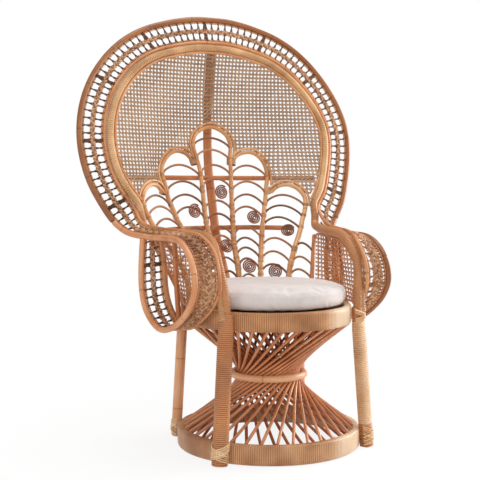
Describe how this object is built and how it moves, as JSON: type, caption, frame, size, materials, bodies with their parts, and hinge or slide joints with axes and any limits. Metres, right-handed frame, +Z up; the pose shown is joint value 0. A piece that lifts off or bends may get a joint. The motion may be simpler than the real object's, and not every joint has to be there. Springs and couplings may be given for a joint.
{
  "type": "peacock chair",
  "caption": "Rattan peacock chair: round fan back with cane web and looped feathers, rolled arms, hourglass base of crossed spokes, loose round seat cushion.",
  "frame": {"origin": "on the floor, under the middle of the chair's outside box", "axes": "+Z up, the chair faces -Y, +X to the right as seen from the front"},
  "size_m": [1.0907, 0.7986, 1.4739],
  "materials": {
    "pole": "peeled rattan, satin lacquer",
    "wrap": "close-wound rattan peel, satin",
    "dark": "rattan core, stained, satin",
    "web": "open cane web, shown as a plain sheet",
    "cloth": "plain woven off-white cover"
  },
  "bodies": {
    "chair": {"arm_frame_left": "wrap", "arm_frame_right": "wrap", "arm_inner_pole_left": "dark", "arm_inner_pole_right": "dark", "arm_lattice_left": "dark", "arm_lattice_right": "dark", "arm_outer_loop_left": "pole", "arm_outer_loop_right": "pole", "arm_panel_left": "web", "arm_panel_right": "web", "arm_post_left": "pole", "arm_post_right": "pole", "arm_slat_left": "pole", "arm_slat_right": "pole", "base_ring": "wrap", "centre_post": "dark", "fan_bead": "pole", "fan_cane": "web", "fan_inner_pole": "dark", "fan_lattice": "dark", "fan_rim": "pole", "fan_wrap_band": "wrap", "feather_centre": "pole", "feather_mid_left": "pole", "feather_mid_right": "pole", "feather_side_left": "pole", "feather_side_right": "pole", "front_leg_left": "wrap", "front_leg_right": "wrap", "lower_rail": "dark", "rear_leg_left": "wrap", "rear_leg_right": "wrap", "rungs_centre": "dark", "rungs_end_left": "dark", "rungs_end_right": "dark", "rungs_mid_left": "dark", "rungs_mid_right": "dark", "rungs_side_left": "dark", "rungs_side_right": "dark", "scroll_centre_high": "dark", "scroll_centre_low": "dark", "scroll_mid_left": "dark", "scroll_mid_right_high": "dark", "scroll_mid_right_low": "dark", "scroll_side_right_high": "dark", "scroll_side_right_low": "dark", "seat_deck": "web", "seat_ring": "wrap", "spokes_inner_back": "dark", "spokes_inner_front": "dark", "spokes_inner_left": "dark", "spokes_inner_right": "dark", "spokes_outer_back": "pole", "spokes_outer_front": "pole", "spokes_outer_left": "pole", "spokes_outer_right": "pole", "upper_rail": "dark", "waist_ring": "pole"},
    "cushion": {"cushion": "cloth"}
  },
  "joints": [
    {"name": "cushion_lift", "type": "slide", "parent": "chair", "child": "cushion", "axis": [0, 0, 1], "range_m": [0, 0.1]}
  ]
}
